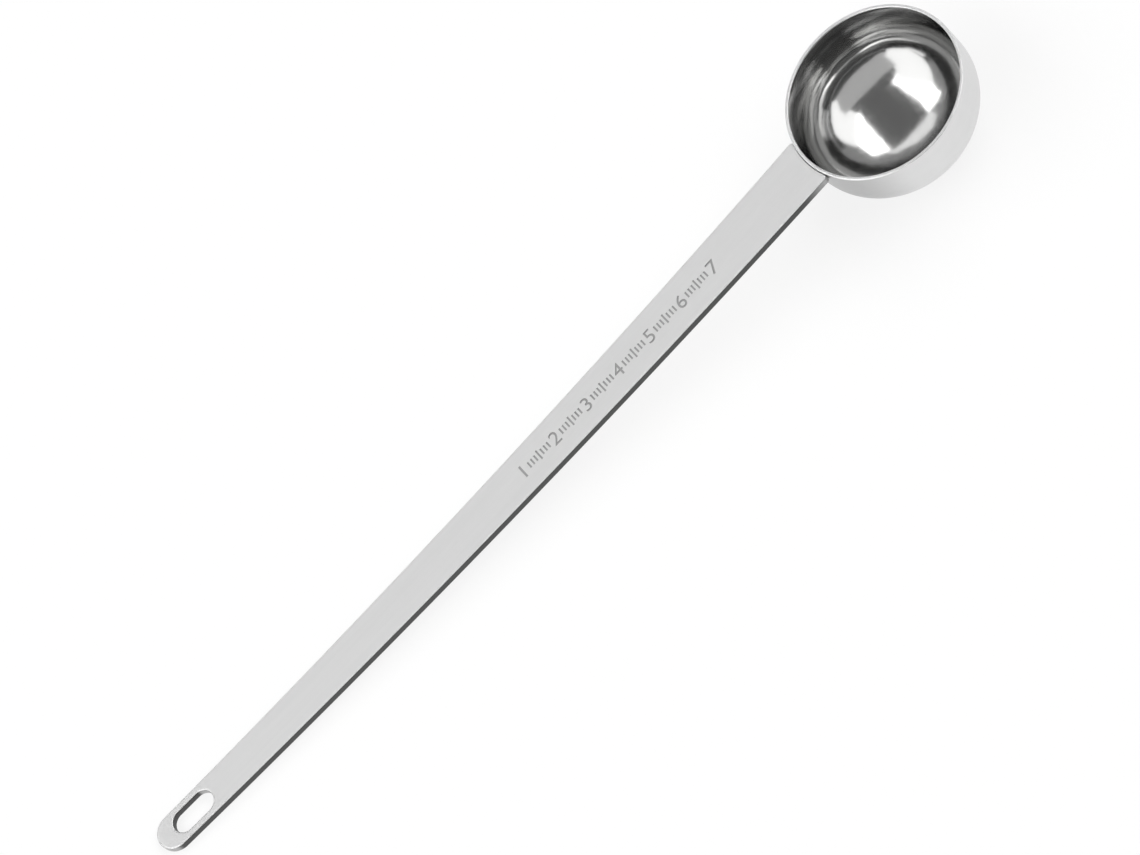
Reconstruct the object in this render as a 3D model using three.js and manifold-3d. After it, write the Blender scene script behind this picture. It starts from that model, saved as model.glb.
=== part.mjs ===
// Long-handled measuring coffee scoop in stainless steel: a deep-drawn bowl, a tapered strip handle
// with a hanging slot, and the weld that joins them. Millimetres, +Z up.
// The origin is the centre of the flat under the bowl, and the handle runs along -X.
import * as THREE from 'three';
import { mergeVertices } from 'three/addons/utils/BufferGeometryUtils.js';
import Module from 'manifold-3d';

// Bowl sizes
const BOWL_INNER_RADIUS = 20;
const BOWL_WALL = 0.8;
const BOWL_STRAIGHT_WALL = 7.6;
const BOWL_BOTTOM_DEPTH = 13;
const BASE_FLAT_RADIUS = 4;

// Handle sizes
const HANDLE_REACH = 224;
const HANDLE_ROOT_WIDTH = 13.2;
const HANDLE_TIP_WIDTH = 8.6;
const HANDLE_THICKNESS = 2;
const HANDLE_EDGE_RADIUS = 0.45;
const HANDLE_BELOW_LIP = 0.7;
const HANDLE_START_SLOPE_DEG = 5.2;
const HANDLE_BEND_RADIUS = 1830;

// Hanging slot sizes
const SLOT_LENGTH = 11;
const SLOT_WIDTH = 5.4;
const SLOT_TO_TIP = 4.7;
const SLOT_EDGE_RADIUS = 0.25;

// Weld sizes
const WELD_LEG = 2;
const WELD_CROWN = 0.35;
const WELD_END_INSET = 1.2;

// Clearance between the pieces where they seat on each other
const SEAT_GAP = 0.3;

// Extra length and height of blanks and cutters, which the cuts take away
const ROOT_ALLOWANCE = 4;
const CUT_MARGIN = 1;

// Facet counts
const BOWL_SEGMENTS = 80;
const PROFILE_STEPS = 12;
const LIP_STEPS = 6;
const SIDE_STEPS = 24;
const ARC_STEPS = 9;
const EDGE_STEPS = 3;
const MERGE_TOLERANCE = 1e-4;

// Sizes that follow from the ones above
const bowlOuterRadius = BOWL_INNER_RADIUS + BOWL_WALL;
const bowlOuterBottom = BOWL_BOTTOM_DEPTH + BOWL_WALL;
const springHeight = bowlOuterBottom * Math.sqrt(1 - (BASE_FLAT_RADIUS / bowlOuterRadius) ** 2);
const lipHeight = springHeight + BOWL_STRAIGHT_WALL;
const lipRadius = BOWL_WALL / 2;
const handleStart = bowlOuterRadius + SEAT_GAP;
const handleTop = lipHeight - HANDLE_BELOW_LIP;
const handleStartSlope = Math.tan(THREE.MathUtils.degToRad(HANDLE_START_SLOPE_DEG));

const wasm = await Module();
wasm.setup();

// Height of the bent handle over its level at the bowl, at a distance from the bowl's axis
function handleRise(distance) {
  const run = distance - handleStart;
  return run * run / (2 * HANDLE_BEND_RADIUS) - run * handleStartSlope;
}

// One closed skin: shared vertices joined, collapsed triangles dropped
function closedGeometry(geometry) {
  const bare = geometry.clone();
  bare.deleteAttribute('normal');
  bare.deleteAttribute('uv');
  const merged = mergeVertices(bare, MERGE_TOLERANCE);
  const corners = merged.index.array;
  const kept = [];
  for (let i = 0; i < corners.length; i += 3) {
    const [a, b, c] = corners.slice(i, i + 3);
    if (a !== b && b !== c && c !== a) {
      kept.push(a, b, c);
    }
  }
  merged.setIndex(kept);
  merged.computeVertexNormals();
  return merged;
}

// Solid for cutting and joining
function solidFrom(geometry) {
  const closed = closedGeometry(geometry);
  const vertProperties = Float32Array.from(closed.attributes.position.array);
  const triVerts = Uint32Array.from(closed.index.array);
  return new wasm.Manifold(new wasm.Mesh({ numProp: 3, vertProperties, triVerts }));
}

function geometryFrom(solid) {
  const mesh = solid.getMesh();
  const geometry = new THREE.BufferGeometry();
  geometry.setAttribute('position', new THREE.BufferAttribute(mesh.vertProperties, 3));
  geometry.setIndex(Array.from(mesh.triVerts));
  geometry.computeVertexNormals();
  return geometry;
}

// Turned solid about +Z from a profile of (radius, height) points
function turned(points) {
  const geometry = new THREE.LatheGeometry(points, BOWL_SEGMENTS);
  return geometry.rotateX(Math.PI / 2);
}

// Bowl: an elliptical bottom, a straight wall, a full-round lip and a small flat to stand on
function bowlProfile() {
  const points = [];
  for (let i = 0; i <= PROFILE_STEPS; i += 1) {
    const angle = (i / PROFILE_STEPS) * Math.PI / 2;
    const radius = BOWL_INNER_RADIUS * Math.sin(angle);
    points.push(new THREE.Vector2(radius, springHeight - BOWL_BOTTOM_DEPTH * Math.cos(angle)));
  }
  for (let i = 0; i <= LIP_STEPS; i += 1) {
    const angle = Math.PI - (i / LIP_STEPS) * Math.PI;
    const radius = BOWL_INNER_RADIUS + lipRadius + lipRadius * Math.cos(angle);
    points.push(new THREE.Vector2(radius, lipHeight - lipRadius + lipRadius * Math.sin(angle)));
  }
  const flatAngle = Math.asin(BASE_FLAT_RADIUS / bowlOuterRadius);
  for (let i = 0; i <= PROFILE_STEPS; i += 1) {
    const angle = THREE.MathUtils.lerp(Math.PI / 2, flatAngle, i / PROFILE_STEPS);
    const radius = bowlOuterRadius * Math.sin(angle);
    points.push(new THREE.Vector2(radius, springHeight - bowlOuterBottom * Math.cos(angle)));
  }
  points.push(new THREE.Vector2(0, 0));
  points[0].x = 0;
  return points;
}

function bowlGeometry() {
  const outward = bowlProfile().reverse();
  return closedGeometry(turned(outward));
}

// Closed skin over rings: each level draws the outline in by its inset, at its height. The outline runs
// anticlockwise from one point beside the X axis to that point's mirror image.
function ringedGeometry(outline, levels) {
  const position = [];
  for (const { point, normal } of outline) {
    for (const { inset, height } of levels) {
      position.push(point.x - inset * normal.x, point.y - inset * normal.y, height);
    }
  }
  const last = outline.length - 1;
  const top = levels.length - 1;
  const at = (column, level) => column * levels.length + level;
  const index = [];
  const quad = (a, b, c, d) => index.push(a, b, c, a, c, d);
  for (let level = 0; level < top; level += 1) {
    for (let column = 0; column < last; column += 1) {
      quad(at(column, level), at(column + 1, level), at(column + 1, level + 1), at(column, level + 1));
    }
    quad(at(last, level), at(0, level), at(0, level + 1), at(last, level + 1));
  }
  for (let column = 0; column < last / 2; column += 1) {
    const mirror = last - column;
    quad(at(column, top), at(column + 1, top), at(mirror - 1, top), at(mirror, top));
    quad(at(mirror, 0), at(mirror - 1, 0), at(column + 1, 0), at(column, 0));
  }
  const geometry = new THREE.BufferGeometry();
  geometry.setAttribute('position', new THREE.Float32BufferAttribute(position, 3));
  geometry.setIndex(index);
  return geometry;
}

// Bend a flat shape to the handle's gentle sweep
function bent(geometry) {
  const position = geometry.attributes.position;
  for (let i = 0; i < position.count; i += 1) {
    position.setZ(i, position.getZ(i) + handleRise(position.getX(i)));
  }
  return geometry;
}

// Points of an arc about a centre on the X axis, with the outline's outward direction at each
function arcOutline(centre, radius, from, to) {
  const outline = [];
  for (let i = 0; i <= ARC_STEPS; i += 1) {
    const angle = THREE.MathUtils.lerp(from, to, i / ARC_STEPS);
    const normal = new THREE.Vector2(Math.cos(angle), Math.sin(angle));
    outline.push({ point: new THREE.Vector2(centre, 0).addScaledVector(normal, radius), normal });
  }
  return outline;
}

// The other half of an outline that is even about the X axis
function mirrored(outline) {
  const flipped = ({ point, normal }) => ({
    point: new THREE.Vector2(point.x, -point.y),
    normal: new THREE.Vector2(normal.x, -normal.y),
  });
  return outline.map(flipped).reverse();
}

// Handle outline from above: straight tapering sides that run into a round tip
function handleOutline() {
  const tipRadius = HANDLE_TIP_WIDTH / 2;
  const tipCentre = HANDLE_REACH - tipRadius;
  const taper = Math.atan2(HANDLE_ROOT_WIDTH / 2 - tipRadius, tipCentre - handleStart);
  const tip = arcOutline(tipCentre, tipRadius, taper - Math.PI / 2, 0);
  const { point: sideEnd, normal } = tip[0];
  const along = new THREE.Vector2(-normal.y, normal.x);
  const rootLength = (sideEnd.x - handleStart + ROOT_ALLOWANCE) / along.x;
  const side = [];
  for (let i = 0; i < SIDE_STEPS; i += 1) {
    const back = rootLength * (1 - i / SIDE_STEPS);
    side.push({ point: sideEnd.clone().addScaledVector(along, -back), normal });
  }
  const half = [...side, ...tip];
  return [...half, ...mirrored(half.slice(0, -1))];
}

// Rounded top and bottom edges of the strip, as insets from its outline
function stripLevels() {
  const bottom = handleTop - HANDLE_THICKNESS;
  const levels = [];
  for (let i = 0; i <= EDGE_STEPS; i += 1) {
    const angle = (i / EDGE_STEPS) * Math.PI / 2;
    const inset = HANDLE_EDGE_RADIUS * (1 - Math.sin(angle));
    const lift = HANDLE_EDGE_RADIUS * (1 - Math.cos(angle));
    levels.push({ inset, height: bottom + lift });
    levels.push({ inset, height: handleTop - lift });
  }
  return levels.sort((a, b) => a.height - b.height);
}

// Cutter for the hanging slot: round ends, and flared mouths that leave rounded edges
function slotCutter() {
  const endRadius = SLOT_WIDTH / 2;
  const farCentre = HANDLE_REACH - SLOT_TO_TIP - endRadius;
  const nearCentre = farCentre - SLOT_LENGTH + SLOT_WIDTH;
  const half = [
    ...arcOutline(nearCentre, endRadius, -Math.PI, -Math.PI / 2),
    ...arcOutline(farCentre, endRadius, -Math.PI / 2, 0),
  ];
  const outline = [...half, ...mirrored(half.slice(0, -1))];
  const bottom = handleTop - HANDLE_THICKNESS;
  const levels = [
    { inset: -SLOT_EDGE_RADIUS, height: bottom - CUT_MARGIN },
    { inset: -SLOT_EDGE_RADIUS, height: handleTop + CUT_MARGIN },
  ];
  for (let i = 0; i <= EDGE_STEPS; i += 1) {
    const angle = (i / EDGE_STEPS) * Math.PI / 2;
    const inset = -SLOT_EDGE_RADIUS * (1 - Math.sin(angle));
    const depth = SLOT_EDGE_RADIUS * (1 - Math.cos(angle));
    levels.push({ inset, height: bottom + depth });
    levels.push({ inset, height: handleTop - depth });
  }
  levels.sort((a, b) => a.height - b.height);
  return solidFrom(bent(ringedGeometry(outline, levels)));
}

// The round space that the bowl's wall needs, which leaves the handle a hollow end
function bowlClearance() {
  return solidFrom(turned([
    new THREE.Vector2(0, -CUT_MARGIN),
    new THREE.Vector2(handleStart, -CUT_MARGIN),
    new THREE.Vector2(handleStart, lipHeight + CUT_MARGIN),
    new THREE.Vector2(0, lipHeight + CUT_MARGIN),
  ]));
}

// Strip with rounded edges, bent to its sweep, then cut for the slot and the bowl
function handleGeometry() {
  const strip = solidFrom(bent(ringedGeometry(handleOutline(), stripLevels())));
  return geometryFrom(strip.subtract(slotCutter()).subtract(bowlClearance()));
}

// Weld: a crowned fillet in the corner under the handle's end, round the bowl's wall
function weldGeometry() {
  const inner = bowlOuterRadius + SEAT_GAP;
  const outer = inner + WELD_LEG;
  const top = handleTop - HANDLE_THICKNESS - SEAT_GAP;
  const outerTop = top + handleRise(outer);
  const crown = new THREE.QuadraticBezierCurve(
    new THREE.Vector2(inner, top - WELD_LEG),
    new THREE.Vector2((inner + outer) / 2 + WELD_CROWN, top - WELD_LEG / 2 - WELD_CROWN),
    new THREE.Vector2(outer, outerTop),
  );
  const profile = [...crown.getPoints(LIP_STEPS), new THREE.Vector2(inner, top)];
  profile.push(profile[0].clone());
  const ring = solidFrom(turned(profile));
  const seamWidth = HANDLE_ROOT_WIDTH - 2 * WELD_END_INSET;
  const block = new THREE.BoxGeometry(outer, seamWidth, lipHeight);
  block.translate(outer / 2, 0, lipHeight / 2);
  return geometryFrom(ring.intersect(solidFrom(block)));
}

// Finishes: polished bowl, satin handle, duller weld
const bowlSteel = new THREE.MeshStandardMaterial({ color: 0xd8d9da, roughness: 0.2, metalness: 1 });
const handleSteel = new THREE.MeshStandardMaterial({ color: 0xd0d1d2, roughness: 0.4, metalness: 1 });
const weldSteel = new THREE.MeshStandardMaterial({ color: 0xa9a8a6, roughness: 0.55, metalness: 1 });

function namedMesh(name, geometry, material) {
  const mesh = new THREE.Mesh(geometry, material);
  mesh.name = name;
  return mesh;
}

const scoop = new THREE.Group();
scoop.add(namedMesh('bowl', bowlGeometry(), bowlSteel));

const handleSide = new THREE.Group();
handleSide.rotation.z = Math.PI;
handleSide.add(namedMesh('handle', handleGeometry(), handleSteel));
handleSide.add(namedMesh('handle_weld', weldGeometry(), weldSteel));
scoop.add(handleSide);

export default scoop;
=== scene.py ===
"""Long-handled measuring coffee scoop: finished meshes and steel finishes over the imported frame.

Metres, in the frame's own axes: +Z up along the bowl's axis, the handle along -X.
"""
import math

import bmesh
import bpy
from bpy.props import FloatProperty, FloatVectorProperty, IntProperty, PointerProperty
from mathutils import Matrix, Vector


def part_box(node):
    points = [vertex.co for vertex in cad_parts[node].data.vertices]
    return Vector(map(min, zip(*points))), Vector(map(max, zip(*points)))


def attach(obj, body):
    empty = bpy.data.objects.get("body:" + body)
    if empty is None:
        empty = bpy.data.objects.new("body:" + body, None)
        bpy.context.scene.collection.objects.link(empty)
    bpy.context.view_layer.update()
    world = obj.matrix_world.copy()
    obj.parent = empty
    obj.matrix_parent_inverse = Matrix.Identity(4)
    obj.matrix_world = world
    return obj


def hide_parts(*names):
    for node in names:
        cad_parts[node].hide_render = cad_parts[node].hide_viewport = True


bl_info = {
    "name": "Measuring coffee scoop",
    "version": (1, 0, 0),
    "blender": (4, 5, 0),
    "location": "View3D > Sidebar > Scoop",
    "description": "Builds a long-handled steel measuring scoop and a soft studio round it",
    "category": "Add Mesh",
}

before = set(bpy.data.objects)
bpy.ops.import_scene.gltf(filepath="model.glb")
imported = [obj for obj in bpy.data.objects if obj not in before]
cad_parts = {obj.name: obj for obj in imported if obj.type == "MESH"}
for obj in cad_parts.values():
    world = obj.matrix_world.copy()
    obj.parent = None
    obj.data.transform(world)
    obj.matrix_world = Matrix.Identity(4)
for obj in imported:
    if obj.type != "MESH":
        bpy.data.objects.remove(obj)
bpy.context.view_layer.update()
BOWL_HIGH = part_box("bowl")[1]
HANDLE_LOW, HANDLE_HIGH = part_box("handle")
MM = 0.001
QUARTER_TURN = math.pi / 2
JOIN_DISTANCE = 1e-7
SENSOR_WIDTH = 36.0

# Finishes of the bowl and of the handle, in the order of their material slots
INSIDE, OUTSIDE, LIP = range(3)
FACES, EDGES = range(2)

# Roughness of each noise texture, and the range that most of its values lie in
NOISE_ROUGHNESS = 0.55
NOISE_LOW = 0.3
NOISE_HIGH = 0.7

# Height of a digit as a share of the font's size
DIGIT_SHARE = 0.7

# Studio panels round the scoop: corners in degrees across and back from straight overhead
OVERHEAD_FLAG = [
    (-17.5, 34), (20.5, 34), (20.5, -12), (26, -20), (22, -28), (-24, -28), (-29, -18), (-17.5, -11),
]
HANDLE_SIDE_PANEL = [
    (-17.5, 36), (-17.5, -11), (-30, -17), (-39, -41), (-52, -48), (-62, -20), (-58, 4), (-50, 16),
    (-42, 22), (-34, 34),
]
BOWL_SIDE_PANEL = [
    (20.5, 36), (31, 31), (40, 18), (55, 2), (59, -12), (50, -42), (44, -50), (37, -48), (31, -25),
    (20.5, -16),
]
HANDLE_SIDE_STRIP = [(-17.5, 36), (-17.5, -11), (-33, -14), (-37, 5), (-36, 36)]
BOWL_SIDE_STRIP = [(20.5, 35), (20.5, -15), (34, -12), (40, 10), (35, 31)]
BACK_PANEL = [(-20, 36), (24, 36), (20, 41), (12, 44), (2, 47.5), (-12, 48.5), (-19, 45)]
LOW_HANDLE_SIDE_PANEL = [(-61, 2), (-61, -30), (-52, -50), (-60, -56), (-76, -30), (-79, -4), (-76, 4)]
FRONT_CARD = [(-45, -20), (45, -20), (42, -49), (-45, -49)]
FRONT_LOW_CARD = [(-45, -49), (42, -49), (34, -64), (-36, -64)]

# First and last turn of the low surround's back and front parts, and its lower and upper edge, in degrees
SURROUND_BACK = (10, 170)
SURROUND_FRONT = (170, 370)
SURROUND_EDGES = (1, 56)

# Distances of the panels and of the surround from the bowl: the nearer stands in front
FLAG_DISTANCE = 3.0
STRIP_DISTANCE = 3.05
PANEL_DISTANCE = 3.1
CARD_DISTANCE = 3.4
SURROUND_DISTANCE = 3.8


class ScoopBowlSettings(bpy.types.PropertyGroup):
    """Sizes and colours of the bowl."""

    outer_radius: FloatProperty(
        name="Outer radius", description="Outside of the bowl's wall", default=BOWL_HIGH.x, unit="LENGTH",
    )
    height: FloatProperty(
        name="Height", description="Lip above the flat base", default=BOWL_HIGH.z, unit="LENGTH",
    )
    wall: FloatProperty(
        name="Wall", description="Thickness of the drawn sheet", default=0.8 * MM, unit="LENGTH",
    )
    straight_wall: FloatProperty(
        name="Straight wall", description="Lip down to where the bottom starts to curve", default=7.6 * MM,
        unit="LENGTH",
    )
    bottom_depth: FloatProperty(
        name="Bottom depth", description="Depth of the curved bottom inside", default=13.0 * MM,
        unit="LENGTH",
    )
    base_flat: FloatProperty(
        name="Base flat", description="Radius of the flat under the bowl", default=4.0 * MM, unit="LENGTH",
    )
    lip_round: FloatProperty(
        name="Lip rounding", description="Rounding of the lip's two edges", default=0.25 * MM, unit="LENGTH",
    )
    segments: IntProperty(name="Segments", description="Faces round the bowl", default=256, min=32)
    inside_colour: FloatVectorProperty(
        name="Inside", description="Polished steel of the inside", default=(0.63, 0.63, 0.625),
        subtype="COLOR",
    )
    # The wall colour is painted shade: a dark reflection painted into the inside wall's colour.
    wall_painted_shade_colour: FloatVectorProperty(
        name="Wall", description="Duller drawn steel of the inside wall", default=(0.19, 0.19, 0.19),
        subtype="COLOR",
    )
    # The rim colour is the steel just under the lip, where the painted shade on the wall ends.
    rim_colour: FloatVectorProperty(
        name="Rim", description="Steel rubbed bright just under the lip", default=(0.6, 0.6, 0.6),
        subtype="COLOR",
    )
    lip_colour: FloatVectorProperty(
        name="Lip", description="Buffed steel of the lip", default=(0.9, 0.9, 0.9), subtype="COLOR",
    )
    outside_colour: FloatVectorProperty(
        name="Outside", description="Satin steel of the outside", default=(0.735, 0.735, 0.735),
        subtype="COLOR",
    )
    # Painted shade: the outside darkened toward the handle, standing in for shade near it.
    outside_painted_shade_colour: FloatVectorProperty(
        name="Dulled", description="Outside dulled by the weld beside the handle", default=(0.49, 0.49, 0.49),
        subtype="COLOR",
    )


class ScoopHandleSettings(bpy.types.PropertyGroup):
    """Sizes and colours of the handle."""

    reach: FloatProperty(
        name="Reach", description="Bowl's axis to the handle's tip", default=-HANDLE_LOW.x, unit="LENGTH",
    )
    root_width: FloatProperty(
        name="Root width", description="Width at the bowl", default=2 * HANDLE_HIGH.y, unit="LENGTH",
    )
    tip_width: FloatProperty(
        name="Tip width", description="Width where the round tip starts", default=8.6 * MM, unit="LENGTH",
    )
    thickness: FloatProperty(
        name="Thickness", description="Thickness of the strip", default=2.0 * MM, unit="LENGTH",
    )
    edge_radius: FloatProperty(
        name="Edge radius", description="Rounding of the strip's edges", default=0.4 * MM, unit="LENGTH",
    )
    corner_radius: FloatProperty(
        name="Corner radius", description="Rounding of the corners beside the bowl", default=0.9 * MM,
        unit="LENGTH",
    )
    seat_gap: FloatProperty(
        name="Seat gap", description="Gap from the bowl's wall to the handle's hollow end", default=0.14 * MM,
        unit="LENGTH",
    )
    start_slope: FloatProperty(
        name="Start slope", description="Downward slope of the handle at the bowl", default=math.radians(5.2),
        subtype="ANGLE",
    )
    bend_radius: FloatProperty(
        name="Bend radius", description="Radius of the handle's gentle upward sweep", default=1.83,
        unit="LENGTH",
    )
    slot_length: FloatProperty(
        name="Slot length", description="Hanging slot, end to end", default=11.0 * MM, unit="LENGTH",
    )
    slot_width: FloatProperty(
        name="Slot width", description="Hanging slot, side to side", default=5.4 * MM, unit="LENGTH",
    )
    slot_to_tip: FloatProperty(
        name="Slot to tip", description="Metal between the slot and the tip", default=4.7 * MM, unit="LENGTH",
    )
    slot_edge: FloatProperty(
        name="Slot edge", description="Rounding of the slot's edges", default=0.4 * MM, unit="LENGTH",
    )
    face_colour: FloatVectorProperty(
        name="Faces", description="Brushed steel of the broad faces", default=(0.765, 0.765, 0.765),
        subtype="COLOR",
    )
    # Painted highlight: a bright colour on the rounded edges of the strip and the slot.
    edge_painted_highlight_colour: FloatVectorProperty(
        name="Worn edges", description="Steel worn bright on the rounded edges", default=(0.9, 0.9, 0.9),
        subtype="COLOR",
    )
    # Painted light: the sides painted lighter at the tip and beside the bowl, where the painted shade gives
    # way.
    sheared_side_painted_light_colour: FloatVectorProperty(
        name="Rubbed edges", description="Cut edges rubbed lighter at the tip and beside the bowl",
        default=(0.5, 0.5, 0.5), subtype="COLOR",
    )
    # Painted shade: the sides' dark colour stands in for a dark reflection.
    sheared_side_painted_shade_colour: FloatVectorProperty(
        name="Cut edges", description="Dull sheared metal of the sides and slot",
        default=(0.105, 0.105, 0.105), subtype="COLOR",
    )


class ScoopMarkSettings(bpy.types.PropertyGroup):
    """The plain centimetre rule stamped on the handle."""

    start: FloatProperty(
        name="Start", description="Bowl's axis to the rule's first tick", default=46.0 * MM, unit="LENGTH",
    )
    pitch: FloatProperty(
        name="Pitch", description="Step from one number to the next", default=10.0 * MM, unit="LENGTH",
    )
    count: IntProperty(name="Count", description="Numbers on the rule", default=7, min=1, max=9)
    ticks_beside: IntProperty(
        name="Short ticks", description="Short ticks on each side of a long one", default=3,
    )
    tick_step: FloatProperty(
        name="Tick step", description="Step from tick to tick", default=1.0 * MM, unit="LENGTH",
    )
    number_height: FloatProperty(
        name="Number height", description="Height of the numbers", default=3.5 * MM, unit="LENGTH",
    )
    tick_width: FloatProperty(
        name="Tick width", description="Width of a tick", default=0.4 * MM, unit="LENGTH",
    )
    long_tick: FloatProperty(
        name="Long tick", description="Length of the tick half way between numbers", default=2.8 * MM,
        unit="LENGTH",
    )
    short_tick: FloatProperty(
        name="Short tick", description="Length of a tick beside a long one", default=1.7 * MM, unit="LENGTH",
    )
    depth: FloatProperty(
        name="Depth", description="Depth of the stamping", default=0.12 * MM, unit="LENGTH",
    )
    colour: FloatVectorProperty(
        name="Stamped metal", description="Dull metal in the stamping", default=(0.42, 0.42, 0.42),
        subtype="COLOR",
    )


class ScoopWeldSettings(bpy.types.PropertyGroup):
    """The weld seam under the handle's end."""

    leg: FloatProperty(
        name="Leg", description="Reach of the bead along the wall and the handle", default=2.0 * MM,
        unit="LENGTH",
    )
    end_inset: FloatProperty(
        name="End inset", description="Bead's end to the handle's side", default=1.2 * MM, unit="LENGTH",
    )
    ripple_pitch: FloatProperty(
        name="Ripple pitch", description="Step from ripple to ripple", default=0.8 * MM, unit="LENGTH",
    )
    ripple_height: FloatProperty(
        name="Ripple height", description="Height of a ripple", default=0.09 * MM, unit="LENGTH",
    )
    colour: FloatVectorProperty(
        name="Bead", description="Dull steel of the bead", default=(0.4, 0.39, 0.37), subtype="COLOR",
    )


class ScoopStageSettings(bpy.types.PropertyGroup):
    """Camera, floor, lamps and cards."""

    lens: FloatProperty(name="Lens", description="Focal length in millimetres", default=200.0)
    distance: FloatProperty(name="Distance", description="Camera to target", default=1.355, unit="LENGTH")
    azimuth: FloatProperty(
        name="Azimuth", description="Camera's turn from straight in front", default=math.radians(4.67),
        subtype="ANGLE",
    )
    elevation: FloatProperty(
        name="Elevation", description="Camera above the lip's plane", default=math.radians(54.5),
        subtype="ANGLE",
    )
    roll: FloatProperty(
        name="Roll", description="Camera's turn about its own axis", default=math.radians(-49.15),
        subtype="ANGLE",
    )
    aim_right: FloatProperty(
        name="Aim right", description="Target from the lip's centre, along the picture's width",
        default=-64.9 * MM, unit="LENGTH",
    )
    aim_up: FloatProperty(
        name="Aim up", description="Target from the lip's centre, along the picture's height",
        default=-71.9 * MM, unit="LENGTH",
    )
    floor_size: FloatProperty(name="Floor", description="Side of the floor", default=8.0, unit="LENGTH")
    floor_colour: FloatVectorProperty(
        name="Floor colour", description="Plain pale floor", default=(0.92, 0.92, 0.92), subtype="COLOR",
    )
    floor_white: FloatProperty(
        name="Floor white", description="How far the floor is lifted to white where it is seen", default=0.77,
    )
    world_light: FloatProperty(name="World", description="Plain level of light from all round", default=0.36)
    lamp_light: FloatProperty(name="Lamps", description="Brightness of the two lamps", default=2.05)
    lamp_lean: FloatProperty(
        name="Lamp lean", description="Turn of each lamp from straight overhead", default=math.radians(40),
        subtype="ANGLE",
    )
    lamp_distance: FloatProperty(
        name="Lamp distance", description="Bowl to the middle of a lamp", default=3.2, unit="LENGTH",
    )
    lamp_width: FloatProperty(name="Lamp width", description="Width of a lamp", default=2.1, unit="LENGTH")
    lamp_length: FloatProperty(name="Lamp length", description="Length of a lamp", default=5.4, unit="LENGTH")
    panel_light: FloatProperty(
        name="Panels", description="Brightness of the lamps' panels, as metal shows them", default=1.5,
    )
    strip_light: FloatProperty(
        name="Strips", description="Brightness of the panels' middles, as metal shows them", default=3.4,
    )
    back_light: FloatProperty(name="Back panel", description="Brightness of the panel behind", default=1.2)
    low_light: FloatProperty(
        name="Low panel", description="Brightness of the low panel on the handle's side", default=1.6,
    )
    flag_tone: FloatProperty(name="Flag", description="Grey of the flag overhead", default=0.16)
    front_tone: FloatProperty(name="Front card", description="Grey of the card in front", default=0.58)
    front_low_tone: FloatProperty(name="Low card", description="Grey of the card low in front", default=0.08)
    surround_back_tone: FloatProperty(
        name="Surround behind", description="Grey of the low surround behind", default=0.3,
    )
    surround_front_tone: FloatProperty(
        name="Surround in front", description="Grey of the low surround in front", default=0.05,
    )


# Materials

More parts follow.
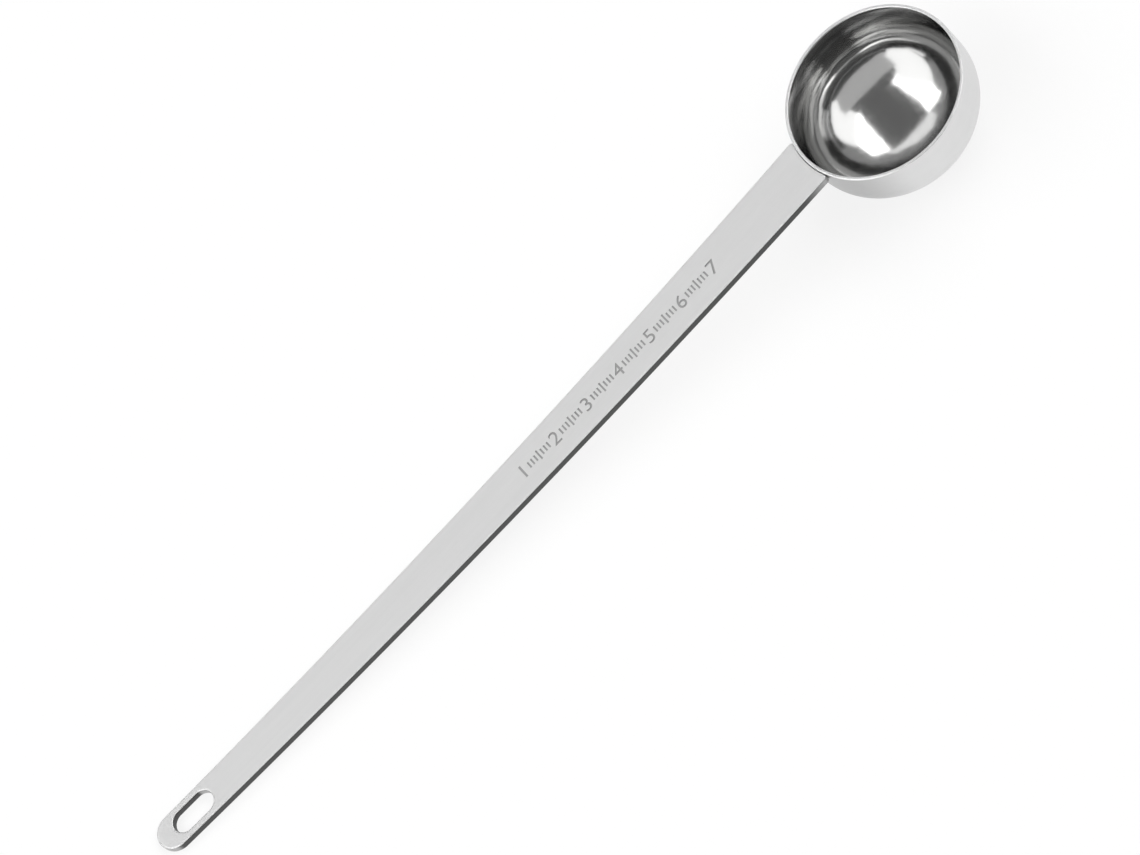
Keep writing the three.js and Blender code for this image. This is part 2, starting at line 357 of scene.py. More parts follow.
class Nodes:
    """A material's node tree, with short ways to add and link nodes."""

    def __init__(self, name):
        self.material = bpy.data.materials.new(name)
        self.material.use_nodes = True
        self.tree = self.material.node_tree
        self.shader = self.tree.nodes["Principled BSDF"]

    def add(self, kind, **values):
        """Add a node, set its own values, and return it."""
        node = self.tree.nodes.new(kind)
        for key, value in values.items():
            setattr(node, key, value)
        return node

    def link(self, source, target):
        """Link an output to an input."""
        self.tree.links.new(source, target)

    def noise(self, scale, detail=4.0):
        """Noise over the object's own coordinates, stretched by a scale for each axis."""
        place = self.add("ShaderNodeTexCoord")
        mapping = self.add("ShaderNodeMapping")
        mapping.inputs["Scale"].default_value = scale
        texture = self.add("ShaderNodeTexNoise")
        texture.inputs["Scale"].default_value = 1.0
        texture.inputs["Detail"].default_value = detail
        texture.inputs["Roughness"].default_value = NOISE_ROUGHNESS
        self.link(place.outputs["Object"], mapping.inputs["Vector"])
        self.link(mapping.outputs["Vector"], texture.inputs["Vector"])
        return texture.outputs["Fac"]

    def ranged(self, value, low, high):
        """Spread a noise value over a range."""
        spread = self.add("ShaderNodeMapRange")
        spread.inputs["From Min"].default_value = NOISE_LOW
        spread.inputs["From Max"].default_value = NOISE_HIGH
        spread.inputs["To Min"].default_value = low
        spread.inputs["To Max"].default_value = high
        self.link(value, spread.inputs["Value"])
        return spread.outputs["Result"]

    def colour(self, value, colour, spread):
        """Vary a colour a little with a noise value."""
        mix = self.add("ShaderNodeMix", data_type="RGBA")
        mix.inputs["A"].default_value = (*(c * (1 - spread) for c in colour), 1)
        mix.inputs["B"].default_value = (*(min(c * (1 + spread), 1) for c in colour), 1)
        self.link(value, mix.inputs["Factor"])
        self.link(mix.outputs["Result"], self.shader.inputs["Base Color"])
        return mix.outputs["Result"]

    def blend(self, value, first, second):
        """Blend from a linked colour to a plain one."""
        mix = self.add("ShaderNodeMix", data_type="RGBA")
        mix.inputs["B"].default_value = (*second, 1)
        self.link(value, mix.inputs["Factor"])
        self.link(first, mix.inputs["A"])
        self.link(mix.outputs["Result"], self.shader.inputs["Base Color"])
        return mix.outputs["Result"]

    def eased(self, value, first, last):
        """Ease from a linked value to a plain one."""
        mix = self.add("ShaderNodeMix", data_type="FLOAT")
        mix.inputs["B"].default_value = last
        self.link(value, mix.inputs["Factor"])
        self.link(first, mix.inputs["A"])
        return mix.outputs["Result"]

    def step(self, source, axis, first, last):
        """A smooth step from 0 to 1 along one axis of the object's coordinates or normals."""
        split = self.add("ShaderNodeSeparateXYZ")
        self.link(self.add("ShaderNodeTexCoord").outputs[source], split.inputs["Vector"])
        step = self.add("ShaderNodeMapRange", interpolation_type="SMOOTHSTEP")
        step.inputs["From Min"].default_value = first
        step.inputs["From Max"].default_value = last
        self.link(split.outputs[axis], step.inputs["Value"])
        return step.outputs["Result"]

    def bump(self, height, distance, strength=1.0):
        """Bump the surface by a height value."""
        bump = self.add("ShaderNodeBump")
        bump.inputs["Strength"].default_value = strength
        bump.inputs["Distance"].default_value = distance
        self.link(height, bump.inputs["Height"])
        self.link(bump.outputs["Normal"], self.shader.inputs["Normal"])

    def rough(self, value, low, high):
        """Let a noise value set the roughness, over a range."""
        self.link(self.ranged(value, low, high), self.shader.inputs["Roughness"])

    def steel(self, roughness):
        """Make the shader bare metal of one roughness."""
        self.shader.inputs["Metallic"].default_value = 1.0
        self.shader.inputs["Roughness"].default_value = roughness


def polished_steel_with_painted_shade(colour, wall_painted_shade_colour, rim_colour, wall_start):
    """Polished inside of the bowl: bright at the bottom, painted shade up the drawn wall (a dark reflection
    painted into the colour), plain steel again under the lip.
    """
    haze_start = wall_start - 7 * MM
    haze_end = wall_start - 3 * MM
    painted_shade_end = wall_start + 4 * MM
    rim_start = wall_start + 4.8 * MM
    rim_end = wall_start + 7.1 * MM
    nodes = Nodes("polished_steel_with_painted_shade")
    nodes.steel(roughness=0.09)
    bright = nodes.colour(nodes.noise(scale=(400, 400, 400)), colour, spread=0.02)
    # Painted shade: the inside wall darkened, standing in for a dark reflection.
    painted_dark = nodes.blend(nodes.step("Object", "Z", wall_start, painted_shade_end), bright, wall_painted_shade_colour)
    # Above the painted shade, plain steel again under the lip.
    nodes.blend(nodes.step("Object", "Z", rim_start, rim_end), painted_dark, rim_colour)
    haze = nodes.ranged(nodes.noise(scale=(900, 900, 900), detail=6.0), low=0.11, high=0.16)
    clear = nodes.eased(nodes.step("Object", "Z", haze_start, haze_end), haze, last=0.1)
    nodes.link(clear, nodes.shader.inputs["Roughness"])
    nodes.bump(nodes.noise(scale=(110, 110, 110), detail=2.0), distance=0.1 * MM)
    return nodes.material


def satin_steel_with_painted_shade(colour, outside_painted_shade_colour):
    """Satin outside of the bowl, finely blasted and rubbed, and darkened by painted shade beside the handle.
    """
    painted_shade_start = -6 * MM
    painted_shade_end = -18.5 * MM
    nodes = Nodes("satin_steel_with_painted_shade")
    nodes.steel(roughness=0.3)
    satin = nodes.colour(nodes.noise(scale=(300, 300, 300)), colour, spread=0.03)
    # Painted shade: darker toward the handle along the object's X.
    nodes.blend(nodes.step("Object", "X", painted_shade_start, painted_shade_end), satin, outside_painted_shade_colour)
    rub = nodes.noise(scale=(500, 500, 4000), detail=5.0)
    nodes.rough(rub, low=0.3, high=0.38)
    nodes.bump(nodes.noise(scale=(6000, 6000, 6000), detail=3.0), distance=0.004 * MM, strength=0.3)
    return nodes.material


def buffed_steel(colour):
    """Buffed lip, with fine marks round it."""
    nodes = Nodes("buffed_steel")
    nodes.steel(roughness=0.42)
    mark = nodes.noise(scale=(1200, 1200, 5000), detail=5.0)
    nodes.colour(mark, colour, spread=0.05)
    nodes.rough(mark, low=0.36, high=0.48)
    nodes.bump(mark, distance=0.006 * MM, strength=0.4)
    return nodes.material


def brushed_steel_with_painted_highlight(colour, edge_painted_highlight_colour):
    """Satin faces of the handle, brushed along its length, with a painted highlight on the rounded edges."""
    highlight_start = 0.985
    highlight_end = 0.93
    nodes = Nodes("brushed_steel_with_painted_highlight")
    nodes.steel(roughness=0.5)
    grain = nodes.noise(scale=(60, 5000, 5000), detail=6.0)
    satin = nodes.colour(nodes.noise(scale=(25, 600, 600), detail=5.0), colour, spread=0.035)
    # Painted highlight on faces that turn away from level: the rounded edges.
    nodes.blend(nodes.step("Normal", "Z", highlight_start, highlight_end), satin, edge_painted_highlight_colour)
    nodes.rough(grain, low=0.46, high=0.56)
    nodes.bump(grain, distance=0.006 * MM, strength=0.4)
    return nodes.material


def sheared_sides_with_painted_shade(colour, sheared_side_painted_light_colour, start):
    """Sheared metal on the strip's sides and in the slot, its dark colour painted shade (a painted dark
    reflection), painted lighter at the tip and beside the bowl.
    """
    bowl_start = -start - 7 * MM
    bowl_end = -start + 2 * MM
    tip_start = -0.12
    tip_end = -0.5
    nodes = Nodes("sheared_sides_with_painted_shade")
    nodes.steel(roughness=0.5)
    streak = nodes.noise(scale=(2600, 2600, 300), detail=5.0)
    # Painted shade: the dark colour of the sides.
    painted_dark = nodes.colour(streak, colour, spread=0.22)
    # Painted light: lighter beside the bowl and round the tip.
    at_bowl = nodes.blend(nodes.step("Object", "X", bowl_start, bowl_end), painted_dark, sheared_side_painted_light_colour)
    nodes.blend(nodes.step("Normal", "X", tip_start, tip_end), at_bowl, sheared_side_painted_light_colour)
    nodes.rough(streak, low=0.4, high=0.6)
    nodes.bump(streak, distance=0.02 * MM, strength=0.6)
    return nodes.material


def stamped_steel(colour):
    """Dull metal pressed into the rule's ticks and numbers."""
    nodes = Nodes("stamped_steel")
    nodes.steel(roughness=0.5)
    grit = nodes.noise(scale=(4000, 4000, 4000), detail=5.0)
    nodes.colour(grit, colour, spread=0.15)
    nodes.rough(grit, low=0.42, high=0.62)
    nodes.bump(grit, distance=0.015 * MM, strength=0.5)
    return nodes.material


def weld_steel(colour):
    """Dull bead of weld metal, with a little scale."""
    nodes = Nodes("weld_steel")
    nodes.steel(roughness=0.5)
    crust = nodes.noise(scale=(1500, 1500, 1500), detail=6.0)
    nodes.colour(crust, colour, spread=0.25)
    nodes.rough(crust, low=0.38, high=0.65)
    nodes.bump(crust, distance=0.03 * MM, strength=0.6)
    return nodes.material


# Meshes

def add_object(name, data):
    """Put an object in the scene."""
    added = bpy.data.objects.new(name, data)
    bpy.context.scene.collection.objects.link(added)
    return added


def add_piece(name, mesh, materials, node):
    """Put a mesh in the scene as a piece that stands for a node of the frame."""
    piece = add_object(name, mesh)
    for material in materials:
        mesh.materials.append(material)
    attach(piece, "root")
    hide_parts(node)
    return piece


def clean(mesh):
    """Join shared points, drop flattened faces and turn every face outward."""
    shape = bmesh.new()
    shape.from_mesh(mesh)
    bmesh.ops.remove_doubles(shape, verts=shape.verts, dist=JOIN_DISTANCE)
    bmesh.ops.dissolve_degenerate(shape, edges=shape.edges, dist=JOIN_DISTANCE)
    bmesh.ops.recalc_face_normals(shape, faces=shape.faces)
    shape.to_mesh(mesh)
    shape.free()


def mesh_of(name, shape):
    """A mesh of an edited shape, which is then freed."""
    mesh = bpy.data.meshes.new(name)
    shape.to_mesh(mesh)
    shape.free()
    return mesh


def mesh_from(name, points, faces, face_materials=None):
    """A smooth, closed mesh of points and faces."""
    mesh = bpy.data.meshes.new(name)
    mesh.from_pydata(points, [], faces)
    if face_materials:
        mesh.polygons.foreach_set("material_index", face_materials)
    clean(mesh)
    mesh.shade_smooth()
    return mesh


def spring_height(bowl):
    """Height where the bowl's straight wall turns into its curved bottom."""
    return bowl.height - bowl.straight_wall


def bowl_profile(bowl):
    """(radius, height, finish) points: the inside from its middle, over the lip, down to the base."""
    curve_steps = 56
    wall_steps = 8
    round_steps = 8
    inner_radius = bowl.outer_radius - bowl.wall
    outer_bottom = bowl.bottom_depth + bowl.wall
    spring = spring_height(bowl)
    straight = bowl.straight_wall - bowl.lip_round
    points = []
    for i in range(curve_steps):
        angle = i / curve_steps * QUARTER_TURN
        points.append((inner_radius * math.sin(angle), spring - bowl.bottom_depth * math.cos(angle), INSIDE))
    for i in range(wall_steps):
        points.append((inner_radius, spring + straight * i / wall_steps, INSIDE))
    inner_edge = (inner_radius + bowl.lip_round, math.pi)
    outer_edge = (bowl.outer_radius - bowl.lip_round, QUARTER_TURN)
    for middle, first in (inner_edge, outer_edge):
        for i in range(round_steps + 1):
            angle = first - QUARTER_TURN * i / round_steps
            across = middle + bowl.lip_round * math.cos(angle)
            points.append((across, spring + straight + bowl.lip_round * math.sin(angle), LIP))
    for i in range(wall_steps):
        points.append((bowl.outer_radius, spring + straight * (1 - i / wall_steps), OUTSIDE))
    flat_angle = math.asin(bowl.base_flat / bowl.outer_radius)
    for i in range(curve_steps + 1):
        angle = QUARTER_TURN + (flat_angle - QUARTER_TURN) * i / curve_steps
        points.append((bowl.outer_radius * math.sin(angle), spring - outer_bottom * math.cos(angle), OUTSIDE))
    points.append((0.0, 0.0, OUTSIDE))
    return points


def bowl_mesh(bowl):
    """The bowl turned from its profile, polished inside and satin outside."""
    profile = bowl_profile(bowl)
    count = len(profile)
    points = []
    for i in range(bowl.segments):
        turn = 2 * math.pi * i / bowl.segments
        for radius, height, _ in profile:
            points.append((radius * math.cos(turn), radius * math.sin(turn), height))
    faces = []
    face_materials = []
    for i in range(bowl.segments):
        near = i * count
        far = (i + 1) % bowl.segments * count
        for j in range(count - 1):
            faces.append((near + j, near + j + 1, far + j + 1, far + j))
            face_materials.append(profile[j][2])
    return mesh_from("scoop_bowl", points, faces, face_materials)


def handle_start(bowl, handle):
    """Bowl's axis to the middle of the handle's hollow end."""
    return bowl.outer_radius + handle.seat_gap


def handle_rise(distance, start, handle):
    """Height of the bent handle over its level at the bowl."""
    run = distance - start
    return run * run / (2 * handle.bend_radius) - run * math.tan(handle.start_slope)


def handle_slope(distance, start, handle):
    """Slope of the bent handle away from the bowl."""
    return (distance - start) / handle.bend_radius - math.tan(handle.start_slope)


def handle_top(start, handle):
    """Height of the handle's upper face at the bowl."""
    return HANDLE_HIGH.z - handle_rise(-HANDLE_HIGH.x, start, handle)


def arc(centre, radius, first, last, steps):
    """(point, outward direction) pairs of an arc in the plan."""
    pairs = []
    for i in range(steps + 1):
        angle = first + (last - first) * i / steps
        out = Vector((math.cos(angle), math.sin(angle)))
        pairs.append((Vector(centre) + out * radius, out))
    return pairs


def mirrored(pairs):
    """The other half of an outline that is even about the handle's middle line."""
    flip = Vector((1, -1))
    return [(point * flip, out * flip) for point, out in reversed(pairs)]


def ringed_mesh(name, outline, levels, rise):
    """A closed skin over rings: the outline drawn in by each level's inset, at its height, and bent."""
    count = len(levels)
    points = []
    for point, out in outline:
        for inset, height in levels:
            place = point - out * inset
            points.append((-place.x, -place.y, height + rise(place.x)))
    last = len(outline) - 1
    faces = []
    for level in range(count - 1):
        for column in range(last):
            near = column * count + level
            faces.append((near, near + count, near + count + 1, near + 1))
        faces.append((last * count + level, level, level + 1, last * count + level + 1))
    for column in range(last // 2):
        mirror = last - column
        for level in (0, count - 1):
            corners = sorted({column, column + 1, mirror - 1, mirror})
            faces.append(tuple(corner * count + level for corner in corners))
    return mesh_from(name, points, faces)


def handle_outline(handle, start):
    """The strip from above: rounded corners at the bowl, straight tapering sides, a round tip."""
    side_steps = 90
    corner_steps = 8
    tip_steps = 28
    allowance = 3 * MM
    tip_radius = handle.tip_width / 2
    tip_centre = handle.reach - tip_radius
    taper = math.atan2(handle.root_width / 2 - tip_radius, tip_centre - start)
    tip = arc((tip_centre, 0), tip_radius, taper - QUARTER_TURN, 0, tip_steps)
    side_end, out = tip[0]
    along = Vector((-out.y, out.x))
    corner = math.sqrt(start ** 2 - (handle.root_width / 2) ** 2)
    back = (side_end.x - corner) / along.x - handle.corner_radius
    side_start = side_end - along * back
    corner_centre = side_start - out * handle.corner_radius
    first = math.atan2(out.y, out.x) - QUARTER_TURN
    rounding = arc(corner_centre, handle.corner_radius, first, first + QUARTER_TURN, corner_steps)
    root = rounding[0][0] - along * allowance
    half = [(root, out), *rounding]
    for i in range(1, side_steps):
        half.append((side_start + along * back * i / side_steps, out))
    half.extend(tip)
    return half + mirrored(half[:-1])


def rounded_levels(bottom, top, radius, sign):
    """(inset, height) levels that round the upper and lower edges, drawn in or flared out by sign."""
    steps = 7
    lower = []
    for i in range(steps + 1):
        angle = i / steps * QUARTER_TURN
        inset = sign * radius * (1 - math.sin(angle))
        lower.append((inset, radius * (1 - math.cos(angle))))
    upper = [(inset, top - lift) for inset, lift in reversed(lower)]
    return [(inset, bottom + lift) for inset, lift in lower] + upper


def slot_outline(handle):
    """The hanging slot from above: straight sides and round ends."""
    end_steps = 24
    radius = handle.slot_width / 2
    far = handle.reach - handle.slot_to_tip - radius
    near = far - handle.slot_length + handle.slot_width
    half = arc((near, 0), radius, -math.pi, -QUARTER_TURN, end_steps)
    half += arc((far, 0), radius, -QUARTER_TURN, 0, end_steps)
    return half + mirrored(half[:-1])


def cutter(name, mesh, material):
    """An object that only cuts, and is deleted after the cut. Its finish goes to the faces it leaves."""
    mesh.materials.append(material)
    return add_object(name, mesh)


def cut(piece, tools):
    """Cut a piece by each tool in turn, then delete the tools."""
    for tool in tools:
        step = piece.modifiers.new(tool.name, "BOOLEAN")
        step.operation = "DIFFERENCE"
        step.solver = "EXACT"
        step.material_mode = "TRANSFER"
        step.object = tool
    graph = bpy.context.evaluated_depsgraph_get()
    result = bpy.data.meshes.new_from_object(piece.evaluated_get(graph))
    clean(result)
    piece.modifiers.clear()
    before = piece.data
    piece.data = result
    bpy.data.meshes.remove(before)
    for tool in tools:
        mesh = tool.data
        bpy.data.objects.remove(tool)
        bpy.data.meshes.remove(mesh)


def on_handle(distance, across, top, start, handle):
    """Placement on the handle's upper face, turned to its slope. Across is away from the camera."""
    height = top + handle_rise(distance, start, handle)
    turn = Matrix.Rotation(math.atan(handle_slope(distance, start, handle)), 4, "Y")
    return Matrix.Translation((-distance, across, height)) @ turn


def tick_shape(shape, width, length, depth, clear, place):
    """Add a tick's cutting block to a shape: its upper end at the placement's origin."""
    size = Matrix.Diagonal((width, length, depth + clear, 1))
    middle = Matrix.Translation((0, -length / 2, (clear - depth) / 2))
    bmesh.ops.create_cube(shape, size=1, matrix=place @ middle @ size)


def number_shape(shape, text, marks, clear, place):
    """Add a number's cutting block to a shape: its foot at the placement's origin."""
    curve = bpy.data.curves.new("number", "FONT")
    curve.body = text
    curve.align_x = "CENTER"
    curve.size = marks.number_height / DIGIT_SHARE
    curve.extrude = (marks.depth + clear) / 2
    curve.resolution_u = 4
    holder = add_object("number", curve)
    graph = bpy.context.evaluated_depsgraph_get()
    mesh = bpy.data.meshes.new_from_object(holder.evaluated_get(graph))
    mesh.transform(place @ Matrix.Translation((0, 0, (clear - marks.depth) / 2)))
    shape.from_mesh(mesh)
    bpy.data.objects.remove(holder)
    bpy.data.curves.remove(curve)
    bpy.data.meshes.remove(mesh)


def rule_mesh(marks, handle, start, top):
    """Cutting blocks of the rule along the handle's middle line: numbers, with ticks from one to the next."""
    clear = 0.3 * MM
    shape = bmesh.new()
    end = marks.start + marks.pitch * marks.count
    for i in range(marks.count):
        number_at = end - marks.pitch * (i + 0.5)
        place = on_handle(number_at, -marks.number_height / 2, top, start, handle)
        number_shape(shape, str(i + 1), marks, clear, place)
        if i == marks.count - 1:
            break
        for j in range(-marks.ticks_beside, marks.ticks_beside + 1):
            tick_at = number_at - marks.pitch / 2 + j * marks.tick_step
            length = marks.short_tick if j else marks.long_tick
            place = on_handle(tick_at, length / 2, top, start, handle)
            tick_shape(shape, marks.tick_width, length, marks.depth, clear, place)
    bmesh.ops.remove_doubles(shape, verts=shape.verts, dist=JOIN_DISTANCE)
    return mesh_of("rule", shape)


def clearance_mesh(start, height):
    """The round space that the bowl's wall needs."""
    shape = bmesh.new()
    bmesh.ops.create_cone(
        shape, cap_ends=True, segments=512, radius1=start, radius2=start, depth=2 * height,
        matrix=Matrix.Translation((0, 0, height / 2)),
    )
    return mesh_of("bowl_space", shape)


def mark_cut_edges(mesh):
    """Give the cut-edge material, with its painted shade, to the steep faces of the strip's sides and slot.
    """
    most_level = 0.6
    for face in mesh.polygons:
        if abs(face.normal.z) < most_level and face.material_index == FACES:
            face.material_index = EDGES


def weld_mesh(weld, bowl, handle, start, top):
    """A hollow-faced bead in the corner under the handle's end, rippled along its run, with tapered ends."""
    run_steps = 72
    across_steps = 12
    end_power = 6
    thinnest = 0.02
    hollow = 0.8
    bite = 0.05 * MM
    seam = math.asin((handle.root_width / 2 - weld.end_inset) / start)
    under = top - handle.thickness
    inner = bowl.outer_radius
    points = []
    for i in range(run_steps + 1):
        along = 2 * i / run_steps - 1
        turn = math.pi + seam * along
        fade = math.sqrt(max(1 - abs(along) ** end_power, thinnest))
        ripple = weld.ripple_height * abs(math.sin(math.pi * seam * along * start / weld.ripple_pitch))
        leg = weld.leg * fade
        for j in range(across_steps + 1):
            angle = j / across_steps * QUARTER_TURN
            reach = leg * (1 - math.cos(angle)) ** hollow + ripple * math.sin(2 * angle)
            drop = leg * (1 - math.sin(angle)) ** hollow + ripple * math.sin(2 * angle)
            radius = inner + reach
            points.append((radius * math.cos(turn), radius * math.sin(turn), under - drop + bite))
        points.append((inner * math.cos(turn), inner * math.sin(turn), under + handle.thickness / 2))
    count = across_steps + 2
    faces = []
    for i in range(run_steps):
        for j in range(count):
            near = i * count
            far = near + count
            following = (j + 1) % count
            faces.append((near + j, near + following, far + following, far + j))
    faces.append(tuple(range(count)))
    faces.append(tuple(run_steps * count + j for j in range(count)))
    return mesh_from("scoop_weld", points, faces)


class SCOOP_OT_bowl(bpy.types.Operator):
    """Build the drawn bowl with its soft-edged lip"""

    bl_idname = "scoop.bowl"
    bl_label = "Bowl"

    def execute(self, context):
        bowl = context.scene.scoop_bowl
        finishes = [
            polished_steel_with_painted_shade(bowl.inside_colour, bowl.wall_painted_shade_colour, bowl.rim_colour, spring_height(bowl)),
            satin_steel_with_painted_shade(bowl.outside_colour, bowl.outside_painted_shade_colour),
            buffed_steel(bowl.lip_colour),
        ]
        add_piece("scoop_bowl", bowl_mesh(bowl), finishes, "bowl")
        return {"FINISHED"}


class SCOOP_OT_handle(bpy.types.Operator):
    """Build the bent strip handle, its slot and its stamped rule"""

    bl_idname = "scoop.handle"
    bl_label = "Handle"

    def execute(self, context):
        bowl = context.scene.scoop_bowl
        handle = context.scene.scoop_handle
        marks = context.scene.scoop_marks
        start = handle_start(bowl, handle)
        top = handle_top(start, handle)
        bottom = top - handle.thickness

        def rise(distance):
            return handle_rise(distance, start, handle)

        strip_levels = rounded_levels(bottom, top, handle.edge_radius, 1)
        strip = ringed_mesh("scoop_handle", handle_outline(handle, start), strip_levels, rise)
        faces = brushed_steel_with_painted_highlight(handle.face_colour, handle.edge_painted_highlight_colour)
        edges = sheared_sides_with_painted_shade(handle.sheared_side_painted_shade_colour, handle.sheared_side_painted_light_colour, start)
        stamped = stamped_steel(marks.colour)
        piece = add_piece("scoop_handle", strip, [faces, edges, stamped], "handle")
        past = 1 * MM
        crease = math.radians(35)
        slot_levels = [(-handle.slot_edge, bottom - past)]
        slot_levels += rounded_levels(bottom, top, handle.slot_edge, -1)
        slot_levels.append((-handle.slot_edge, top + past))
        slot = ringed_mesh("slot", slot_outline(handle), slot_levels, rise)
        rule = rule_mesh(marks, handle, start, top)
        cut(piece, [
            cutter("slot", slot, faces),
            cutter("bowl_space", clearance_mesh(start, bowl.height), edges),
            cutter("rule", rule, stamped),
        ])
        mark_cut_edges(piece.data)
        piece.data.set_sharp_from_angle(angle=crease)
        level = piece.modifiers.new("even_shading", "WEIGHTED_NORMAL")
        level.keep_sharp = True
        return {"FINISHED"}


class SCOOP_OT_weld(bpy.types.Operator):
    """Build the rippled weld bead under the handle's end"""

    bl_idname = "scoop.weld"
    bl_label = "Weld"

    def execute(self, context):
        bowl = context.scene.scoop_bowl
        handle = context.scene.scoop_handle
        weld = context.scene.scoop_weld
        start = handle_start(bowl, handle)
        top = handle_top(start, handle)
        mesh = weld_mesh(weld, bowl, handle, start, top)
        add_piece("scoop_weld", mesh, [weld_steel(weld.colour)], "handle_weld")
        return {"FINISHED"}


# Stage

def camera_axes(stage):
    """The camera's right, up and backward directions."""
    back = Vector((
        math.sin(stage.azimuth) * math.cos(stage.elevation),
        -math.cos(stage.azimuth) * math.cos(stage.elevation),
        math.sin(stage.elevation),
    ))
    level = Vector((math.cos(stage.azimuth), math.sin(stage.azimuth), 0))
    upright = back.cross(level)
    right = level * math.cos(stage.roll) + upright * math.sin(stage.roll)
    up = upright * math.cos(stage.roll) - level * math.sin(stage.roll)
    return right, up, back


def add_camera(stage, bowl):
    """The camera, at the angle of the photograph."""
    right, up, back = camera_axes(stage)
    lip_centre = Vector((0, 0, bowl.height))
    target = lip_centre + right * stage.aim_right + up * stage.aim_up
    data = bpy.data.cameras.new("camera")
    data.sensor_fit = "HORIZONTAL"
    data.sensor_width = SENSOR_WIDTH
    data.lens = stage.lens
    camera = add_object("camera", data)
    axes = Matrix((right, up, back)).transposed()
    camera.matrix_world = Matrix.Translation(target + back * stage.distance) @ axes.to_4x4()
    bpy.context.scene.camera = camera


def empty_tree(owner):
    """The node tree of a material or a world, with no nodes in it."""
    owner.use_nodes = True
    owner.node_tree.nodes.clear()
    return owner.node_tree


def seen_rays(tree):
    """1 on rays from the camera, from shiny metal and through glass, and 0 on the rest."""
    path = tree.nodes.new("ShaderNodeLightPath")
    total = None
    for name in ("Is Camera Ray", "Is Glossy Ray", "Is Transmission Ray"):
        if total is None:
            total = path.outputs[name]
            continue
        larger = tree.nodes.new("ShaderNodeMath")
        larger.operation = "MAXIMUM"
        tree.links.new(total, larger.inputs[0])
        tree.links.new(path.outputs[name], larger.inputs[1])
        total = larger.outputs[0]
    return total


def floor_material(colour, white_share):
    """Plain pale floor that takes the scoop's shadow, lifted to white where it is seen."""
    material = bpy.data.materials.new("floor")
    tree = empty_tree(material)
    output = tree.nodes.new("ShaderNodeOutputMaterial")
    matt = tree.nodes.new("ShaderNodeBsdfDiffuse")
    matt.inputs["Color"].default_value = (*colour, 1)
    white = tree.nodes.new("ShaderNodeEmission")
    white.inputs["Color"].default_value = (1, 1, 1, 1)
    share = tree.nodes.new("ShaderNodeMath")
    share.operation = "MULTIPLY"
    share.inputs[1].default_value = white_share
    both = tree.nodes.new("ShaderNodeMixShader")
    tree.links.new(seen_rays(tree), share.inputs[0])
    tree.links.new(share.outputs[0], both.inputs[0])
    tree.links.new(matt.outputs[0], both.inputs[1])
    tree.links.new(white.outputs[0], both.inputs[2])
    tree.links.new(both.outputs[0], output.inputs["Surface"])
    return material


def add_floor(stage, bowl, handle):
    """The floor that the scoop lies on: it meets the edge of the bowl's flat and the handle's tip."""
    start = handle_start(bowl, handle)
    top = handle_top(start, handle)
    tip_under = top + handle_rise(handle.reach, start, handle) - handle.thickness
    slope = math.atan2(tip_under, handle.reach - bowl.base_flat)
    mesh = bpy.data.meshes.new("floor")
    half = stage.floor_size / 2
    corners = [(-half, -half, 0), (half, -half, 0), (half, half, 0), (-half, half, 0)]
    mesh.from_pydata(corners, [], [(0, 1, 2, 3)])
    floor = add_object("floor", mesh)
    floor.matrix_world = Matrix.Translation((-bowl.base_flat, 0, 0)) @ Matrix.Rotation(slope, 4, "Y")
    mesh.materials.append(floor_material(stage.floor_colour, stage.floor_white))


def add_lamp(stage, side):
    """A long soft lamp on one side, leaning over the bowl. Metal shows the panel on that side instead."""
    name = "lamp_handle_side" if side < 0 else "lamp_bowl_side"
    data = bpy.data.lights.new(name, "AREA")
    data.shape = "RECTANGLE"
    data.size = stage.lamp_width
    data.size_y = stage.lamp_length
    data.energy = stage.lamp_light * math.pi * stage.lamp_width * stage.lamp_length
    lamp = add_object(name, data)
    lean = side * stage.lamp_lean
    place = Vector((math.sin(lean), 0, math.cos(lean))) * stage.lamp_distance
    lamp.matrix_world = Matrix.Translation(place) @ Matrix.Rotation(lean, 4, "Y")
    lamp.visible_camera = False
    lamp.visible_glossy = False


def add_card(name, points, faces, grey):
    """A plain card of one grey that shows only in polished metal."""
    mesh = bpy.data.meshes.new(name)
    mesh.from_pydata(points, [], faces)
    card = add_object(name, mesh)
    material = bpy.data.materials.new(name)
    tree = empty_tree(material)
    output = tree.nodes.new("ShaderNodeOutputMaterial")
    tone = tree.nodes.new("ShaderNodeEmission")
    tone.inputs["Color"].default_value = (grey, grey, grey, 1)
    tree.links.new(tone.outputs[0], output.inputs["Surface"])
    mesh.materials.append(material)
    card.visible_camera = False
    card.visible_diffuse = False
    card.visible_shadow = False
    card.visible_transmission = False


def overhead_point(across, back, distance):
    """A point seen from the bowl so many degrees across and back from straight overhead."""
    from_top = math.radians(math.hypot(across, back))
    turn = math.atan2(back, across)
    flat = math.sin(from_top) * distance
    return (flat * math.cos(turn), flat * math.sin(turn), math.cos(from_top) * distance)


def add_panel(name, corners, distance, grey):
    """A flat-sided panel over the bowl, its corners given in degrees across and back from overhead."""
    points = [overhead_point(across, back, distance) for across, back in corners]
    add_card(name, points, [tuple(range(len(points)))], grey)


def add_low_surround(name, span, grey):
    """A dim band part of the way round the scoop, low down, over a span of degrees."""
    segments = 48
    radius = SURROUND_DISTANCE
    first = math.radians(span[0])
    last = math.radians(span[1])
    points = []
    for i in range(segments + 1):
        turn = first + (last - first) * i / segments
        for edge in SURROUND_EDGES:
            height = radius * math.tan(math.radians(edge))
            points.append((radius * math.cos(turn), radius * math.sin(turn), height))
    faces = [(2 * i, 2 * i + 2, 2 * i + 3, 2 * i + 1) for i in range(segments)]
    add_card(name, points, faces, grey)


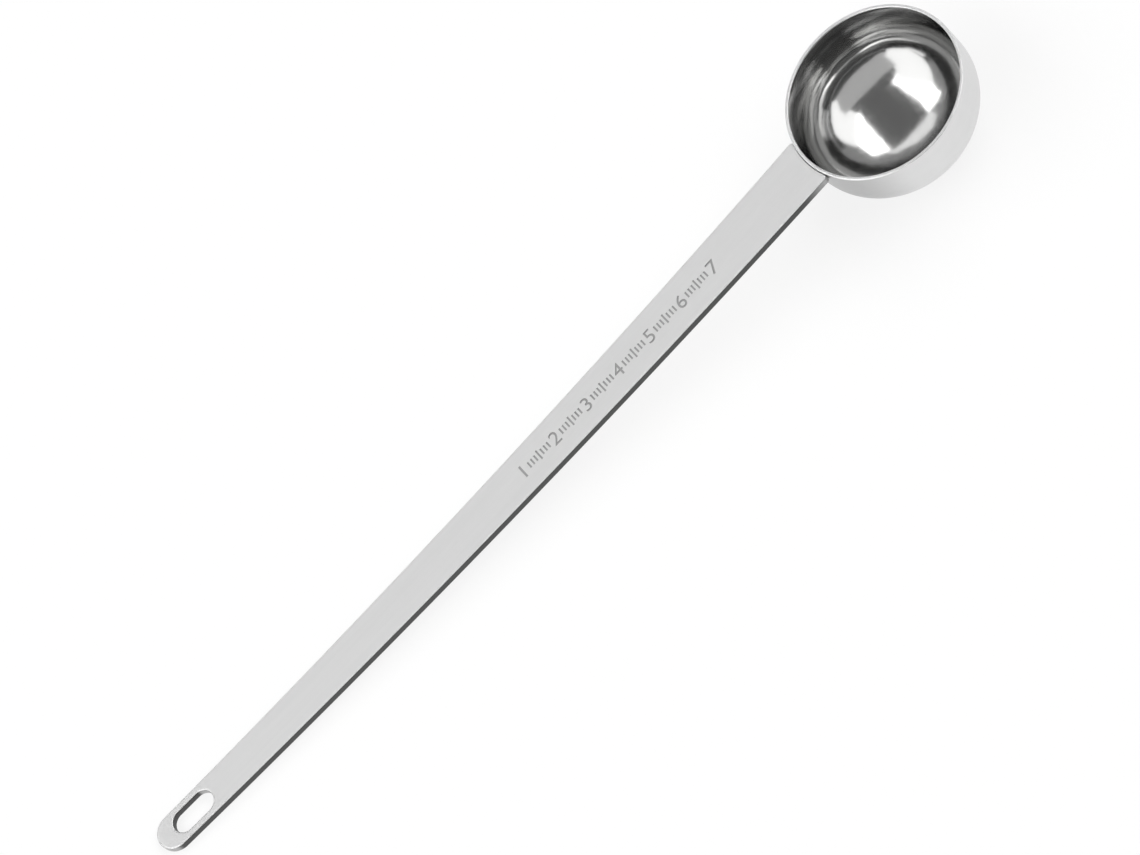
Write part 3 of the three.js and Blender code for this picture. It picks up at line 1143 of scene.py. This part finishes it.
def set_world(stage):
    """Even white surroundings, and a plain level of light from them."""
    world = bpy.data.worlds.new("studio")
    bpy.context.scene.world = world
    tree = empty_tree(world)
    output = tree.nodes.new("ShaderNodeOutputWorld")
    light = tree.nodes.new("ShaderNodeBackground")
    light.inputs["Color"].default_value = (1, 1, 1, 1)
    light.inputs["Strength"].default_value = stage.world_light
    white = tree.nodes.new("ShaderNodeBackground")
    white.inputs["Color"].default_value = (1, 1, 1, 1)
    mix = tree.nodes.new("ShaderNodeMixShader")
    tree.links.new(seen_rays(tree), mix.inputs[0])
    tree.links.new(light.outputs[0], mix.inputs[1])
    tree.links.new(white.outputs[0], mix.inputs[2])
    tree.links.new(mix.outputs[0], output.inputs["Surface"])


class SCOOP_OT_stage(bpy.types.Operator):
    """Set the camera, the floor, the lamps, the panels and the cards"""

    bl_idname = "scoop.stage"
    bl_label = "Stage"

    def execute(self, context):
        stage = context.scene.scoop_stage
        bowl = context.scene.scoop_bowl
        handle = context.scene.scoop_handle
        context.scene.view_settings.view_transform = "Standard"
        add_camera(stage, bowl)
        add_floor(stage, bowl, handle)
        set_world(stage)
        for side in (-1, 1):
            add_lamp(stage, side)
        add_panel("flag_overhead", OVERHEAD_FLAG, FLAG_DISTANCE, stage.flag_tone)
        add_panel("strip_handle_side", HANDLE_SIDE_STRIP, STRIP_DISTANCE, stage.strip_light)
        add_panel("strip_bowl_side", BOWL_SIDE_STRIP, STRIP_DISTANCE, stage.strip_light)
        add_panel("panel_handle_side", HANDLE_SIDE_PANEL, PANEL_DISTANCE, stage.panel_light)
        add_panel("panel_bowl_side", BOWL_SIDE_PANEL, PANEL_DISTANCE, stage.panel_light)
        add_panel("panel_back", BACK_PANEL, PANEL_DISTANCE, stage.back_light)
        add_panel("card_front", FRONT_CARD, CARD_DISTANCE, stage.front_tone)
        add_panel("card_front_low", FRONT_LOW_CARD, CARD_DISTANCE, stage.front_low_tone)
        add_panel("panel_low_handle_side", LOW_HANDLE_SIDE_PANEL, CARD_DISTANCE, stage.low_light)
        add_low_surround("low_surround_back", SURROUND_BACK, stage.surround_back_tone)
        add_low_surround("low_surround_front", SURROUND_FRONT, stage.surround_front_tone)
        return {"FINISHED"}


class SCOOP_PT_panel(bpy.types.Panel):
    """Buttons and sizes for the scoop"""

    bl_idname = "SCOOP_PT_panel"
    bl_label = "Coffee scoop"
    bl_space_type = "VIEW_3D"
    bl_region_type = "UI"
    bl_category = "Scoop"

    def draw(self, context):
        layout = self.layout
        for operator in OPERATORS:
            layout.operator(operator.bl_idname)
        for key in GROUPS:
            group = getattr(context.scene, key)
            box = layout.box()
            for name in group.bl_rna.properties.keys():
                if name not in ("rna_type", "name"):
                    box.prop(group, name)


GROUPS = {
    "scoop_bowl": ScoopBowlSettings,
    "scoop_handle": ScoopHandleSettings,
    "scoop_marks": ScoopMarkSettings,
    "scoop_weld": ScoopWeldSettings,
    "scoop_stage": ScoopStageSettings,
}
OPERATORS = (SCOOP_OT_bowl, SCOOP_OT_handle, SCOOP_OT_weld, SCOOP_OT_stage)


def register():
    """Register the settings, operators and panel."""
    for name, group in GROUPS.items():
        bpy.utils.register_class(group)
        setattr(bpy.types.Scene, name, PointerProperty(type=group))
    for operator in OPERATORS:
        bpy.utils.register_class(operator)
    bpy.utils.register_class(SCOOP_PT_panel)


def unregister():
    """Remove what register added."""
    bpy.utils.unregister_class(SCOOP_PT_panel)
    for operator in reversed(OPERATORS):
        bpy.utils.unregister_class(operator)
    for name, group in GROUPS.items():
        delattr(bpy.types.Scene, name)
        bpy.utils.unregister_class(group)


def main():
    """Build the scoop and its stage in order."""
    register()
    bpy.ops.scoop.bowl()
    bpy.ops.scoop.handle()
    bpy.ops.scoop.weld()
    bpy.ops.scoop.stage()


if __name__ == "__main__":
    main()
